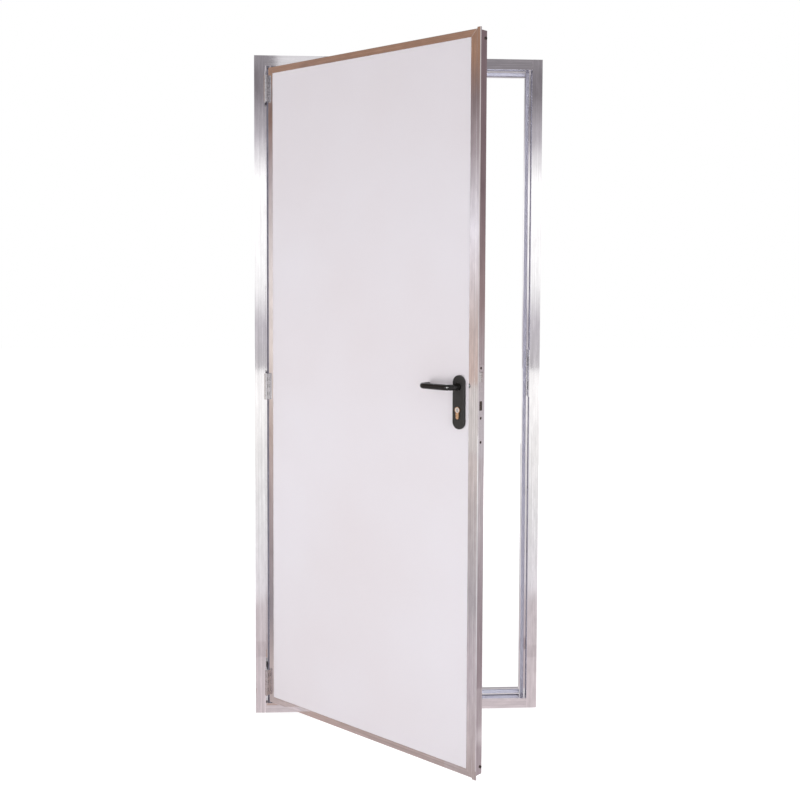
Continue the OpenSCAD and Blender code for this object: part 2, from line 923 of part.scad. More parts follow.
// Strip on the lock edge whose lip laps over the frame's face
module closing_strip() {
    color(aluminium)
        in_leaf()
            difference() {
                translate([leaf_right, leaf_front, leaf_bottom - strip_overlength])
                    linear_extrude(height = leaf_height + 2 * strip_overlength)
                        polygon([
                            [0, 0],
                            [lip_reach - lip_bevel_width, 0],
                            [lip_reach, lip_bevel_depth],
                            [lip_reach, lip_thickness],
                            [strip_leg_thickness, lip_thickness],
                            [strip_leg_thickness, strip_leg],
                            [0, strip_leg]
                        ]);
                for (index = [0 : rivet_count - 1])
                    bore_x(
                        [leaf_right, leaf_front + rivet_line, rivet_height(index)],
                        rivet_radius + screw_clearance, strip_leg_thickness
                    );
            }
}

module strip_rivets() {
    color(galvanised)
        in_leaf()
            for (index = [0 : rivet_count - 1])
                translate([
                    leaf_right + strip_leg_thickness,
                    leaf_front + rivet_line,
                    rivet_height(index)
                ])
                    rotate([0, -90, 0]) {
                        translate([0, 0, -rivet_head_height])
                            cylinder(r = rivet_head_radius, h = rivet_head_height);
                        translate([0, 0, -rivet_head_height])
                            cylinder(r = rivet_radius, h = rivet_reach + rivet_head_height);
                    }
}

// One flat layer of the panel, with the openings for the handle set
module panel_layer(start, thickness) {
    difference() {
        translate([leaf_left + chamber_width, start, leaf_bottom + chamber_width])
            cube([panel_width, thickness, panel_height]);
        rod_y([lock_x, start - overrun, lever_height], spindle_opening, thickness + 2 * overrun);
        cylinder_prism(pocket_clearance, start - overrun, thickness + 2 * overrun);
        for (high = handle_bolt_heights)
            rod_y([lock_x, start - overrun, high], handle_bolt_radius + pocket_clearance, thickness + 2 * overrun);
    }
}

module front_skin() {
    color(coated)
        in_leaf()
            panel_layer(panel_front, skin_thickness);
}

module back_skin() {
    color(coated)
        in_leaf()
            panel_layer(panel_back - skin_thickness, skin_thickness);
}

module foam_core() {
    color(foam)
        in_leaf()
            difference() {
                panel_layer(panel_front + skin_thickness, panel_back - panel_front - 2 * skin_thickness);
                lock_pocket(overrun);
            }
}

// Pocket for the lock case, running out past the leaf's edge
module lock_pocket(out) {
    translate([
        leaf_right - case_depth - pocket_clearance,
        lock_y - case_thickness / 2 - pocket_clearance,
        case_bottom - pocket_clearance
    ])
        cube([
            case_depth + pocket_clearance + out,
            case_thickness + 2 * pocket_clearance,
            case_top - case_bottom + 2 * pocket_clearance
        ]);
}

// Lock

// Openings through both cheeks of the lock case
module case_openings(start, length) {
    rod_y([lock_x, start, lever_height], spindle_opening, length);
    cylinder_prism(pocket_clearance, start, length);
    for (high = handle_bolt_heights)
        rod_y([lock_x, start, high], handle_bolt_radius + pocket_clearance, length);
}

// Opening for one bolt in the faceplate and the case's front wall
module bolt_opening(start, length, middle, bolt_height) {
    translate([
        start,
        lock_y - bolt_thickness / 2 - guide_clearance,
        middle - bolt_height / 2 - guide_clearance
    ])
        cube([length, bolt_thickness + 2 * guide_clearance, bolt_height + 2 * guide_clearance]);
}

module case_front_openings(start, length) {
    bolt_opening(start, length, latch_middle, latch_height);
    bolt_opening(start, length, dead_bolt_middle, dead_bolt_height);
}

module lock_case() {
    color(galvanised)
        in_leaf()
            difference() {
                translate([leaf_right - case_depth, lock_y - case_thickness / 2 + case_wall, case_bottom])
                    cube([case_depth, case_thickness - case_wall, case_top - case_bottom]);
                translate([
                    leaf_right - case_depth + case_wall,
                    lock_y - case_thickness / 2 - overrun,
                    case_bottom + case_wall
                ])
                    cube([
                        case_depth - 2 * case_wall,
                        case_thickness - case_wall + overrun,
                        case_top - case_bottom - 2 * case_wall
                    ]);
                case_openings(lock_y, case_thickness);
                case_front_openings(leaf_right - case_wall - overrun, case_wall + 2 * overrun);
                bore_x(
                    [leaf_right - case_wall, lock_y, cylinder_height - bridge_screw_drop],
                    long_screw_radius + screw_clearance, case_wall
                );
            }
}

module lock_cover() {
    color(galvanised)
        in_leaf()
            difference() {
                translate([leaf_right - case_depth, lock_y - case_thickness / 2, case_bottom])
                    cube([case_depth, case_wall, case_top - case_bottom]);
                case_openings(lock_y - case_thickness / 2 - overrun, case_wall + 2 * overrun);
            }
}

module faceplate() {
    color(galvanised)
        in_leaf()
            difference() {
                translate([leaf_right, lock_y - faceplate_width / 2, faceplate_middle - faceplate_length / 2])
                    cube([faceplate_thickness, faceplate_width, faceplate_length]);
                case_front_openings(leaf_right - overrun, faceplate_thickness + 2 * overrun);
                for (high = faceplate_screw_heights)
                    translate([leaf_right + faceplate_thickness, lock_y, high])
                        rotate([0, -90, 0])
                            sunk_hole(faceplate_thickness, screw_radius);
                translate([leaf_right + faceplate_thickness, lock_y, cylinder_height - bridge_screw_drop])
                    rotate([0, -90, 0])
                        sunk_hole(faceplate_thickness, long_screw_radius);
            }
}

module faceplate_screws() {
    color(oiled)
        in_leaf()
            for (high = faceplate_screw_heights)
                translate([leaf_right + faceplate_thickness, lock_y, high])
                    rotate([0, -90, 0])
                        sunk_screw(faceplate_thickness, screw_radius, screw_reach);
}

// Latch with a sloped nose, a tail in the case and a hook for the follower's arm
module latch_bolt() {
    side = bolt_thickness / 2;
    tip = leaf_right + faceplate_thickness + latch_throw;
    color(nickel)
        in_leaf() {
            translate([0, lock_y, latch_middle - latch_height / 2])
                linear_extrude(height = latch_height)
                    polygon([
                        [leaf_right - latch_head, -side],
                        [tip, -side],
                        [tip, latch_tip - side],
                        [tip - latch_slope, side],
                        [leaf_right - latch_head, side]
                    ]);
            translate([latch_tail_end, lock_y - tail_thickness / 2, lever_height + latch_tail_rise])
                cube([leaf_right - latch_head + overrun - latch_tail_end, tail_thickness, tail_height]);
            translate([latch_tail_end, lock_y - tail_thickness / 2, lever_height + hook_rise])
                cube([hook_thickness, tail_thickness, latch_tail_rise + tail_height - hook_rise]);
        }
}

module dead_bolt() {
    head_end = leaf_right - dead_bolt_setback - dead_bolt_head;
    head_top = dead_bolt_middle + dead_bolt_height / 2;
    color(oiled)
        in_leaf() {
            translate([head_end, lock_y - bolt_thickness / 2, head_top - dead_bolt_height])
                cube([dead_bolt_head, bolt_thickness, dead_bolt_height]);
            translate([
                head_end - tail_length,
                lock_y - tail_thickness / 2,
                head_top - dead_tail_drop - tail_height
            ])
                cube([tail_length + overrun, tail_thickness, tail_height]);
        }
}

// Hub on the spindle whose arm draws the latch back
module follower() {
    color(galvanised)
        in_leaf()
            difference() {
                union() {
                    rod_y([lock_x, lock_y - follower_thickness / 2, lever_height], follower_radius, follower_thickness);
                    translate([lock_x - arm_width / 2, lock_y - follower_thickness / 2, lever_height])
                        cube([arm_width, follower_thickness, arm_length]);
                }
                spindle_bar(lock_y - follower_thickness / 2 - overrun, follower_thickness + 2 * overrun, screw_clearance);
            }
}

// Square bar on the lever's axis, grown by a clearance
module spindle_bar(start, length, grow) {
    half_side = spindle_side / 2 + grow;
    translate([lock_x - half_side, start, lever_height - half_side])
        cube([2 * half_side, length, 2 * half_side]);
}

module spindle() {
    color(galvanised)
        in_leaf()
            spindle_bar(panel_front - spindle_seat, panel_back - panel_front + 2 * spindle_seat, 0);
}

// Key cylinder

module key_cylinder() {
    color(nickel)
        in_leaf()
            difference() {
                cylinder_prism(0, cylinder_start, cylinder_length);
                rod_y(
                    [lock_x, cylinder_start - overrun, cylinder_height],
                    plug_radius + running_clearance, cylinder_length + 2 * overrun
                );
                translate([
                    lock_x - cylinder_radius - overrun,
                    lock_y - cam_gap / 2,
                    cylinder_height - bridge_drop
                ])
                    cube([2 * (cylinder_radius + overrun), cam_gap, bridge_drop + cylinder_radius + overrun]);
                bore_x(
                    [lock_x - leg_radius, lock_y, cylinder_height - bridge_screw_drop],
                    long_screw_radius + screw_clearance, 2 * leg_radius
                );
            }
}

module cylinder_screw() {
    color(oiled)
        in_leaf()
            translate([leaf_right + faceplate_thickness, lock_y, cylinder_height - bridge_screw_drop])
                rotate([0, -90, 0])
                    sunk_screw(faceplate_thickness, long_screw_radius, faceplate_thickness + lock_backset + leg_radius);
}

// Plug with a keyway in its outer end
module plug(start, length, keyway_start) {
    difference() {
        rod_y([lock_x, start, cylinder_height], plug_radius, length);
        translate([lock_x - keyway_width / 2, keyway_start, cylinder_height - keyway_height / 2])
            cube([keyway_width, keyway_depth + overrun, keyway_height]);
    }
}

module outer_plug() {
    color(nickel)
        in_leaf()
            plug(
                cylinder_start,
                lock_y - cam_gap / 2 + cam_clearance - cylinder_start,
                cylinder_start - overrun
            );
}

module inner_plug() {
    start = lock_y + cam_gap / 2 - cam_clearance;
    color(nickel)
        in_leaf()
            plug(
                start,
                cylinder_start + cylinder_length - start,
                cylinder_start + cylinder_length - keyway_depth
            );
}

module cam() {
    width = cam_gap - 2 * cam_clearance;
    color(galvanised)
        in_leaf() {
            rod_y([lock_x, lock_y - width / 2, cylinder_height], cam_ring, width);
            intersection() {
                rod_y([lock_x, lock_y - width / 2, cylinder_height], cam_reach, width);
                translate([lock_x - cam_tooth / 2, lock_y - width / 2, cylinder_height - cam_reach])
                    cube([cam_tooth, width, cam_reach]);
            }
        }
}

// Handle set

// Places a shape drawn with +Z away from the leaf and +Y up on the front of the panel
module on_front() {
    in_leaf()
        translate([lock_x, panel_front, lever_height])
            rotate([90, 0, 0])
                children();
}

// Places the same shape on the back of the panel
module on_back() {
    in_leaf()
        translate([lock_x, panel_back, lever_height])
            rotate([90, 0, 180])
                children();
}

// Half section of a handle plate with a rounded rim
module plate_outline() {
    square([plate_radius, plate_thickness - plate_rounding]);
    square([plate_radius - plate_rounding, plate_thickness]);
    translate([plate_radius - plate_rounding, plate_thickness - plate_rounding])
        circle(r = plate_rounding);
}

// Long plate with round ends
module plate_body() {
    upper = plate_rise - plate_radius;
    lower = plate_radius - plate_drop;
    translate([0, upper, 0])
        rotate_extrude(angle = 180)
            plate_outline();
    translate([0, lower, 0])
        rotate([0, 0, 180])
            rotate_extrude(angle = 180)
                plate_outline();
    for (side = [0, 1])
        translate([0, upper, 0])
            mirror([side, 0, 0])
                rotate([90, 0, 0])
                    linear_extrude(height = upper - lower)
                        plate_outline();
}

// Straight-sided shape of the plate's hollow
module plate_hollow() {
    inner_radius = plate_radius - plate_shell;
    upper = plate_rise - plate_radius;
    lower = plate_radius - plate_drop;
    translate([0, 0, -overrun])
        linear_extrude(height = plate_thickness - plate_shell + overrun) {
            for (end = [upper, lower])
                translate([0, end])
                    circle(r = inner_radius);
            translate([-inner_radius, lower])
                square([2 * inner_radius, upper - lower]);
        }
}

// Plate with its hollow, bolt bosses and openings
module handle_plate() {
    difference() {
        union() {
            difference() {
                plate_body();
                plate_hollow();
            }
            for (high = [upper_bolt_rise, -lower_bolt_drop])
                translate([0, high, 0])
                    intersection() {
                        cylinder(r = boss_radius, h = plate_thickness - plate_shell / 2);
                        translate([0, -high, 0])
                            plate_body();
                    }
        }
        translate([0, 0, -overrun])
            cylinder(r = collar_radius + guide_clearance, h = plate_thickness + 2 * overrun);
        translate([0, -axis_distance, -overrun])
            linear_extrude(height = plate_thickness + 2 * overrun)
                cylinder_outline(pocket_clearance);
    }
}

module outer_plate() {
    color(black)
        on_front()
            difference() {
                handle_plate();
                for (high = [upper_bolt_rise, -lower_bolt_drop])
                    translate([0, high, -overrun])
                        cylinder(
                            r = handle_bolt_radius + screw_clearance,
                            h = plate_thickness - boss_floor + overrun
                        );
            }
}

module inner_plate() {
    color(black)
        on_back()
            difference() {
                handle_plate();
                for (high = [upper_bolt_rise, -lower_bolt_drop])
                    translate([0, high, -overrun])
                        cylinder(r = handle_bolt_radius + screw_clearance, h = plate_thickness + 2 * overrun);
                for (high = [upper_bolt_rise, -lower_bolt_drop])
                    translate([0, high, plate_thickness - handle_head_height])
                        cylinder(r = handle_head_radius + screw_clearance, h = handle_head_height + overrun);
            }
}

module handle_bolts() {
    length = panel_back - panel_front + 2 * plate_thickness - boss_floor - handle_head_height;
    color(galvanised)
        on_back()
            for (high = [upper_bolt_rise, -lower_bolt_drop])
                translate([0, high, plate_thickness - handle_head_height]) {
                    cylinder(r = handle_head_radius, h = handle_head_height);
                    translate([0, 0, -length])
                        cylinder(r = handle_bolt_radius, h = length + handle_head_height);
                }
}

// Quarter of a ring with the lever's round section, from +X towards +Z
module lever_corner() {
    rotate([90, 0, 0])
        rotate_extrude(angle = 90)
            translate([lever_bend, 0])
                circle(r = lever_radius);
}

// Lever bent from round bar: neck, grip along +X and an end returned to the door
module lever_bar() {
    straight = lever_stand - lever_bend;
    difference() {
        union() {
            translate([0, 0, collar_start])
                cylinder(r = collar_radius, h = collar_length);
            translate([0, 0, collar_start])
                cylinder(r = lever_radius, h = straight - collar_start);
            translate([lever_bend, 0, straight])
                rotate([0, -90, 0])
                    lever_corner();
            translate([lever_bend, 0, lever_stand])
                rotate([0, 90, 0])
                    cylinder(r = lever_radius, h = lever_length - 2 * lever_bend);
            translate([lever_length - lever_bend, 0, straight])
                lever_corner();
            translate([lever_length, 0, lever_return_gap + lever_chamfer])
                cylinder(r = lever_radius, h = straight - lever_return_gap - lever_chamfer);
            translate([lever_length, 0, lever_return_gap])
                cylinder(r1 = lever_radius - lever_chamfer, r2 = lever_radius, h = lever_chamfer);
        }
        translate([-spindle_side / 2 - screw_clearance, -spindle_side / 2 - screw_clearance, collar_start - overrun])
            cube([
                spindle_side + 2 * screw_clearance,
                spindle_side + 2 * screw_clearance,
                spindle_seat - collar_start + overrun
            ]);
    }
}

module outer_lever() {
    color(black)
        on_front()
            rotate([0, 0, 180])
                lever_bar();
}

module inner_lever() {
    color(black)
        on_back()
            lever_bar();
}

hinge_jamb();
lock_jamb();
head();
sill();
hinge_seal();
lock_seal();
head_seal();
sill_seal();
frame_corner_screws();
strike_plate();
strike_screws();
upper_frame_flap();
middle_frame_flap();
lower_frame_flap();
frame_flap_screws();
front_skin();
back_skin();
foam_core();
hinge_stile();
lock_stile();
top_rail();
bottom_rail();
corner_cleats();
leaf_corner_screws();
closing_strip();
strip_rivets();
upper_leaf_flap();
middle_leaf_flap();
lower_leaf_flap();
leaf_flap_screws();
upper_pin();
middle_pin();
lower_pin();
lock_case();
lock_cover();
faceplate();
faceplate_screws();
key_cylinder();
cylinder_screw();
outer_plate();
inner_plate();
handle_bolts();
outer_lever();
inner_lever();
spindle();
follower();
latch_bolt();
dead_bolt();
outer_plug();
inner_plug();
cam();
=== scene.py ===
# %% [markdown]
# # A service door in its aluminium frame
#
# The door is a white sandwich panel with mitred aluminium edges. It hangs on three butt hinges in
# a four-sided frame and stands open. The construction already fixes every rigid piece, so this
# lesson only dresses it: camera, studio, finishes, and the soft seal that a solid model shows too
# stiffly. The imported solids come in first.

# %% Load the imported door
import json
import math

import bpy
import numpy as np
from mathutils import Matrix, Vector


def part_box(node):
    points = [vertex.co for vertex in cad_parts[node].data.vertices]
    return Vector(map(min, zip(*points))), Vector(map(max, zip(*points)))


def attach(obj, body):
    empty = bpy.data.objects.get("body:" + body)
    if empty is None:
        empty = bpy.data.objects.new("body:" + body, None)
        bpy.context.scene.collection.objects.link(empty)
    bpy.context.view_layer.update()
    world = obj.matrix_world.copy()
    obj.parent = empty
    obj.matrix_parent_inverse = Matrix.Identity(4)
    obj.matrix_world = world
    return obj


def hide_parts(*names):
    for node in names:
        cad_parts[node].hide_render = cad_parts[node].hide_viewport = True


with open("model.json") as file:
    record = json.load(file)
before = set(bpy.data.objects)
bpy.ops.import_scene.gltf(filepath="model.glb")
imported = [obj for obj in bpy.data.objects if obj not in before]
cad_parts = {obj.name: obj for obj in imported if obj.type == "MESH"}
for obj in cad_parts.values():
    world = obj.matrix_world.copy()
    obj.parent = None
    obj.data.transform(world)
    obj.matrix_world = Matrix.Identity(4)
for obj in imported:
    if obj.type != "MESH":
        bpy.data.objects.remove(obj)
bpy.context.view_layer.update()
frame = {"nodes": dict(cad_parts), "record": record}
scene = bpy.context.scene
door = frame["nodes"]

# %% [markdown]
# ## Camera
#
# The photographer stood close, a little left of the middle and at eye height, so the open edge of
# the leaf looks much taller than the frame behind it. A camera could be placed by eye, but the
# corners of the frame and the leaf fix it: these numbers come from fitting those corners. A small
# vertical shift keeps the upright edges nearly upright, as a view camera does.

# %% Camera from its place, heading and focal length in pixels
IMAGE_SIDE = 800
FOCAL_PIXELS = 1141.7
AXIS_ROW = 344
SENSOR_WIDTH = 36.0
CAMERA_PLACE = Vector((-0.217, -3.618, 1.370))
HEADING, PITCH, ROLL = (math.radians(angle) for angle in (3.54, -3.07, 0.22))


def camera_turn(heading, pitch, roll):
    """Rotation whose columns are the camera's right, up and backward directions: the level right
    vector of the heading, the view direction tipped by the pitch, and both turned by the roll."""
    level = Vector((math.cos(heading), -math.sin(heading), 0))
    flat_ahead = Vector((math.sin(heading), math.cos(heading), 0))
    ahead = flat_ahead * math.cos(pitch) + Vector((0, 0, math.sin(pitch)))
    up = level.cross(ahead)
    right = level * math.cos(roll) + up * math.sin(roll)
    upright = up * math.cos(roll) - level * math.sin(roll)
    return Matrix((right, upright, -ahead)).transposed()


view_camera = bpy.data.objects.new("view_camera", bpy.data.cameras.new("view_camera"))
view_camera.data.sensor_width = SENSOR_WIDTH
view_camera.data.lens = FOCAL_PIXELS * SENSOR_WIDTH / IMAGE_SIDE
view_camera.data.shift_y = (AXIS_ROW - IMAGE_SIDE / 2) / IMAGE_SIDE
turned = camera_turn(HEADING, PITCH, ROLL).to_4x4()
view_camera.matrix_world = Matrix.Translation(CAMERA_PLACE) @ turned
scene.collection.objects.link(view_camera)
scene.camera = view_camera
print(f"lens {view_camera.data.lens:.1f} mm, shift {view_camera.data.shift_y:.3f}")

# %% [markdown]
# ## Node helper
#
# A finish is a small graph: coordinates go into a noise, the noise into a colour. Wiring each node
# by hand takes four lines, so one helper makes a node, sets its options and fills its sockets,
# with a value or with a link, whichever it is given.

# %% One helper for every shader graph
def node(tree, kind, sockets=None, **options):
    """Adds a node of this kind; each socket gets a number, a colour or another node's output."""
    made = tree.nodes.new(kind)
    for key, value in options.items():
        setattr(made, key, value)
    for key, value in (sockets or {}).items():
        if isinstance(value, bpy.types.NodeSocket):
            tree.links.new(value, made.inputs[key])
        else:
            made.inputs[key].default_value = value
    return made


print("helper: node")

# %% [markdown]
# ## Background
#
# The door stands before plain white. A bright backdrop could give that, but it would also flood
# the door with light. White for the eye and for reflections is one thing and light on the door
# another, so the world asks the ray what it is: seen or mirrored, it is white; as light, it is
# weaker.

# %% World
def ray_is(tree, *kinds):
    """Output that is 1 for a ray of any of these kinds, else 0: the largest of their flags."""
    flags = node(tree, "ShaderNodeLightPath").outputs
    answer = flags[kinds[0]]
    for kind in kinds[1:]:
        larger = node(tree, "ShaderNodeMath", {0: answer, 1: flags[kind]}, operation="MAXIMUM")
        answer = larger.outputs[0]
    return answer


def one_of(tree, share, first, second):
    """Output that is the first shader where share is 0 and the second where share is 1."""
    sockets = {0: share, 1: first.outputs[0], 2: second.outputs[0]}
    return node(tree, "ShaderNodeMixShader", sockets).outputs[0]


SEEN_OR_MIRRORED = "Is Camera Ray", "Is Glossy Ray", "Is Transmission Ray"
SKY_LIGHT = 0.54
scene.view_settings.view_transform = "Standard"
studio = bpy.data.worlds.new("studio")
studio.use_nodes = True
scene.world = studio
sky = studio.node_tree
sky.nodes.clear()
shown = ray_is(sky, *SEEN_OR_MIRRORED)
soft_light = node(sky, "ShaderNodeBackground", {"Color": (1, 0.985, 1, 1), "Strength": SKY_LIGHT})
white_wall = node(sky, "ShaderNodeBackground", {"Color": (1, 1, 1, 1), "Strength": 1.0})
node(sky, "ShaderNodeOutputWorld", {"Surface": one_of(sky, shown, soft_light, white_wall)})
print("world: white to the eye and in reflections, weaker as light")

# %% [markdown]
# ## Floor
#
# The floor fades into the white, yet the door has to stand on it, so it keeps a soft shadow. A
# shadow catcher would need a second pass. Here the floor asks the ray too: as light it is a plain
# pale floor, and to the eye it is a darker floor that glows by itself, which is white where light
# falls and a little grey where the door takes the light away.

# %% Floor that stays white but keeps the shadow
def flat_card(name, corner, across, along):
    """Rectangle whose points are the corner plus each of two edge vectors, not at all or fully."""
    corner, across, along = (np.array(v, float) for v in (corner, across, along))
    shares = np.array([[0, 0], [1, 0], [1, 1], [0, 1]], float)
    points = corner + shares @ np.stack([across, along])
    mesh = bpy.data.meshes.new(name)
    mesh.from_pydata(points.tolist(), [], [[0, 1, 2, 3]])
    card = bpy.data.objects.new(name, mesh)
    scene.collection.objects.link(card)
    return card


FLOOR_SIDE = 40
FLOOR_GLOW = 0.8
floor_corner = (-FLOOR_SIDE / 2, -FLOOR_SIDE / 2, 0)
floor = flat_card("floor", floor_corner, (FLOOR_SIDE, 0, 0), (0, FLOOR_SIDE, 0))
pale_floor = bpy.data.materials.new("pale_floor")
pale_floor.use_nodes = True
tree = pale_floor.node_tree
tree.nodes.clear()
plain = node(tree, "ShaderNodeBsdfDiffuse", {"Color": (0.8, 0.79, 0.8, 1)})
shadowed = node(tree, "ShaderNodeBsdfDiffuse", {"Color": (0.45, 0.45, 0.45, 1)})
glow = node(tree, "ShaderNodeEmission", {"Color": (1, 1, 1, 1), "Strength": FLOOR_GLOW})
both = node(tree, "ShaderNodeAddShader", {0: shadowed.outputs[0], 1: glow.outputs[0]})
surface = one_of(tree, ray_is(tree, *SEEN_OR_MIRRORED), plain, both)
node(tree, "ShaderNodeOutputMaterial", {"Surface": surface})
floor.data.materials.append(pale_floor)
print(f"floor: {FLOOR_SIDE} m square")

# %% [markdown]
# ## Reflection cards
#
# Bare aluminium has hardly any colour of its own and shows what stands around it: the dark upper
# ends, the bright middle and the warm edges of the leaf are all reflections. They could be painted
# on, but paint would slide away from the truth in any other view. So dim cards stand outside the
# picture, as a photographer hangs flags. Only glossy rays see them, and each has a soft change of
# tone along one axis.

# %% A ramp between colours, and a number carried to another range
def blend_colours(tree, share, low, high, between=()):
    """Output of a ramp from the low colour to the high one as share goes from 0 to 1. Each pair in
    between is a share and the colour that the ramp passes through there."""
    ramp = node(tree, "ShaderNodeValToRGB", {"Fac": share})
    ramp.color_ramp.elements[0].color = (*low, 1)
    ramp.color_ramp.elements[1].color = (*high, 1)
    for stop, colour in between:
        ramp.color_ramp.elements.new(stop).color = (*colour, 1)
    return ramp.outputs["Color"]


def spread(tree, value, from_low, from_high, to_low, to_high):
    """Output that carries value from one range to another, kept inside the new range."""
    sockets = {"Value": value, "From Min": from_low, "From Max": from_high,
               "To Min": to_low, "To Max": to_high}
    return node(tree, "ShaderNodeMapRange", sockets).outputs["Result"]


print("helpers: blend_colours, spread")


# %% Cards behind the camera
def glow_card(name, corner, across, along, axis, stops):
    """Card whose glow changes along one axis; each stop is a place in metres and a colour."""
    card = flat_card(name, corner, across, along)
    card.visible_camera = card.visible_diffuse = card.visible_shadow = False
    card.visible_transmission = card.visible_volume_scatter = False
    finish = bpy.data.materials.new(name)
    finish.use_nodes = True
    tree = finish.node_tree
    tree.nodes.clear()
    spot = node(tree, "ShaderNodeTexCoord").outputs["Object"]
    place = node(tree, "ShaderNodeSeparateXYZ", {"Vector": spot})
    (first, low), *middle, (last, high) = stops
    share = spread(tree, place.outputs[axis], first, last, 0.0, 1.0)
    between = [((stop - first) / (last - first), colour) for stop, colour in middle]
    colour = blend_colours(tree, share, low, high, between)
    glow = node(tree, "ShaderNodeEmission", {"Color": colour})
    node(tree, "ShaderNodeOutputMaterial", {"Surface": glow.outputs[0]})
    card.data.materials.append(finish)


glow_card("wall_behind_camera", (-2.4, -6.6, 0.6), (5.6, 0, 0), (0, 0, 6), "Z", [
    (0.6, (0.60, 0.58, 0.60)), (1.0, (0.62, 0.59, 0.63)), (1.35, (1.1, 1.1, 1.1)),
    (2.25, (1.3, 1.3, 1.3)), (2.65, (0.56, 0.53, 0.57)), (3.05, (0.24, 0.22, 0.24)),
    (3.2, (0.24, 0.22, 0.24)), (3.32, (0.31, 0.29, 0.31))])
glow_card("pillar_behind_camera", (-4.8, -6.6, 0), (2.4, 0, 0), (0, 0, 6), "Z", [
    (0.5, (0.72, 0.67, 0.67)), (3.5, (0.64, 0.59, 0.59))])
glow_card("window_behind_camera", (-0.68, -6.5, 2.95), (0.42, 0, 0), (0, 0, 0.6), "Z", [
    (2.95, (0.80, 0.79, 0.81)), (3.55, (0.80, 0.79, 0.81))])
print("behind the camera: a wall, a pillar and a window")

# %% Cards to the left and right
glow_card("wall_left_near", (-6, -5, 0), (0, 5.2, 0), (0, 0, 6.5), "Z", [
    (0.52, (0.70, 0.65, 0.63)), (0.58, (0.64, 0.50, 0.45)), (1.0, (0.64, 0.53, 0.50)),
    (1.8, (0.92, 0.88, 0.94)), (2.4, (0.44, 0.38, 0.40)), (2.85, (0.26, 0.20, 0.20)),
    (3.17, (0.37, 0.225, 0.16))])
glow_card("wall_left_far", (-6, 0.2, 0), (0, 3.8, 0), (0, 0, 6.5), "Z", [
    (0.2, (0.56, 0.45, 0.41)), (0.8, (0.86, 0.76, 0.71)), (1.5, (0.86, 0.78, 0.76)),
    (2.2, (0.50, 0.43, 0.44)), (2.65, (0.28, 0.18, 0.15)), (2.88, (0.24, 0.18, 0.17)),
    (3.0, (0.39, 0.245, 0.18))])
glow_card("wall_right", (6, -4, 0), (0, 9, 0), (0, 0, 6), "Z", [
    (0.3, (0.58, 0.53, 0.56)), (1.2, (0.34, 0.25, 0.25)), (2.1, (0.22, 0.16, 0.17))])
print("at the sides: two walls on the left, one on the right")

# %% Mats on the floor in front, left and right
LOW_MAT, MAT, TOP_MAT = 0.001, 0.002, 0.003
glow_card("mat_in_front", (-8, -14, LOW_MAT), (12, 0, 0), (0, 13.969, 0), "Y", [
    (-9.0, (1.14, 1.13, 1.12)), (-5.5, (0.98, 0.97, 0.96)), (-2.9, (0.88, 0.87, 0.88)),
    (-1.5, (0.82, 0.79, 0.82)), (-1.2, (0.65, 0.59, 0.61)), (-0.1, (0.69, 0.61, 0.63))])
glow_card("mat_left_near", (-6, -1.2, MAT), (5.48, 0, 0), (0, 0.95, 0), "X", [
    (-5.2, (0.64, 0.56, 0.54)), (-1.6, (0.48, 0.44, 0.46)), (-0.95, (0.58, 0.51, 0.54))])
glow_card("mat_left_far", (-6, -0.25, MAT), (5.54, 0, 0), (0, 1.45, 0), "X", [
    (-5.2, (0.52, 0.42, 0.40)), (-1.5, (0.33, 0.29, 0.31)), (-0.85, (0.53, 0.44, 0.43))])
glow_card("mat_under_leaf", (-0.42, -0.57, MAT), (0.6, 0, 0), (0, 0.48, 0), "X", [
    (-0.4, (0.52, 0.40, 0.37)), (0.1, (0.47, 0.39, 0.38))])
glow_card("mat_under_lock_end", (-0.52, -0.75, TOP_MAT), (0.7, 0, 0), (0, 0.18, 0), "X", [
    (-0.5, (0.59, 0.52, 0.54)), (-0.15, (0.58, 0.50, 0.51)), (0.05, (0.48, 0.40, 0.39))])
glow_card("mat_beside_leaf", (0.18, -0.66, MAT), (0.77, 0, 0), (0, 0.14, 0), "X", [
    (0.2, (0.42, 0.35, 0.37)), (0.46, (0.45, 0.38, 0.40)), (0.52, (0.60, 0.53, 0.55)),
    (0.56, (0.60, 0.53, 0.55)), (0.63, (0.46, 0.39, 0.41))])
glow_card("mat_right", (0.95, -1, MAT), (5.05, 0, 0), (0, 1.6, 0), "X", [
    (1.0, (0.36, 0.29, 0.31)), (1.8, (0.35, 0.29, 0.31)), (3.9, (0.55, 0.49, 0.51))])
glow_card("mat_beside_frame", (0.47, -0.03, MAT), (0.48, 0, 0), (0, 0.63, 0), "X", [
    (0.47, (0.50, 0.44, 0.46)), (0.95, (0.40, 0.34, 0.36))])
print("on the floor: eight mats in front of the door and beside it")

# %% Cards behind the door and above it
glow_card("mat_behind_door", (-8, 0.032, LOW_MAT), (16, 0, 0), (0, 5.968, 0), "Y", [
    (0.1, (0.50, 0.47, 0.49)), (2.0, (0.62, 0.60, 0.62)), (6.0, (0.70, 0.68, 0.70))])
for side, left in (("left", -6.95), ("right", 0.3)):
    glow_card("wall_behind_door_" + side, (left, 6, 0), (6, 0, 0), (0, 0, 6), "Z", [
        (0.3, (0.60, 0.57, 0.59)), (1.2, (0.88, 0.86, 0.88)), (2.4, (0.34, 0.32, 0.34))])
glow_card("ceiling", (-8, -4, 7), (16, 0, 0), (0, 14, 0), "Y", [
    (-4.0, (0.55, 0.54, 0.55)), (10.0, (0.40, 0.39, 0.40))])
print("behind and above: a mat, two walls with a gap between them, a ceiling")

# %% [markdown]
# ## Lamps
#
# Large lamps from the front add a soft direction to the even light of the world, and one behind
# keeps the back readable. Metal would show them as hard squares, so reflections leave them out.
# The black levers are the exception: their bends carry a small glint. A brighter card would give
# it, but it would also sparkle on every metal edge, so that lamp is linked to the levers alone.

